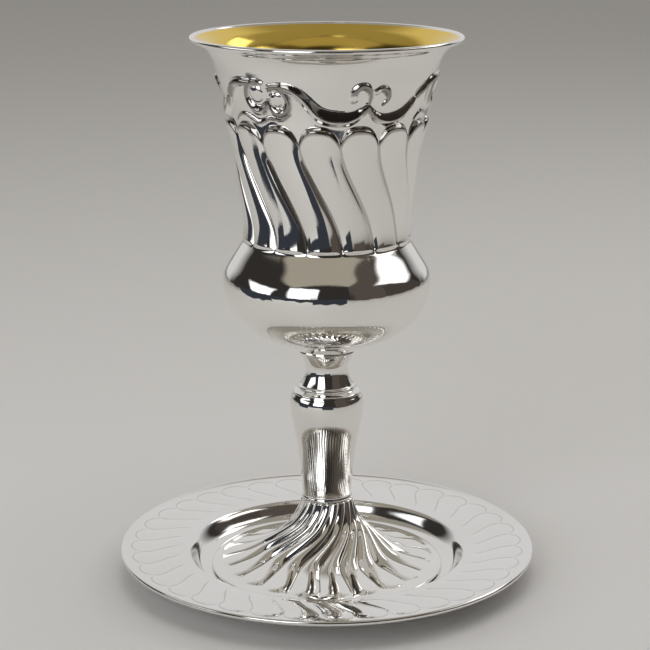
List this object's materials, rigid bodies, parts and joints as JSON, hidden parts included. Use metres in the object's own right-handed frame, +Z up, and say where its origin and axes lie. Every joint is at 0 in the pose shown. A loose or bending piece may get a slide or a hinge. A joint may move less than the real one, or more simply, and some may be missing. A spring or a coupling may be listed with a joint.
{
  "type": "kiddush cup",
  "caption": "Footed silver kiddush cup, gilt inside, with swirled flutes and a scroll band, standing in its matching saucer.",
  "frame": {"origin": "centre of the saucer's flat underside", "axes": "+Z up along the common axis of cup and saucer, -Y towards the viewer"},
  "size_m": [0.116, 0.116, 0.15],
  "materials": {
    "polished_silver": "mirror-polished silver",
    "saucer_silver": "polished silver, chased",
    "gilding": "satin gilding inside the bowl"
  },
  "bodies": {
    "root": {"bowl": "polished_silver", "stem": "polished_silver", "foot": "polished_silver", "saucer": "saucer_silver"}
  },
  "joints": []
}
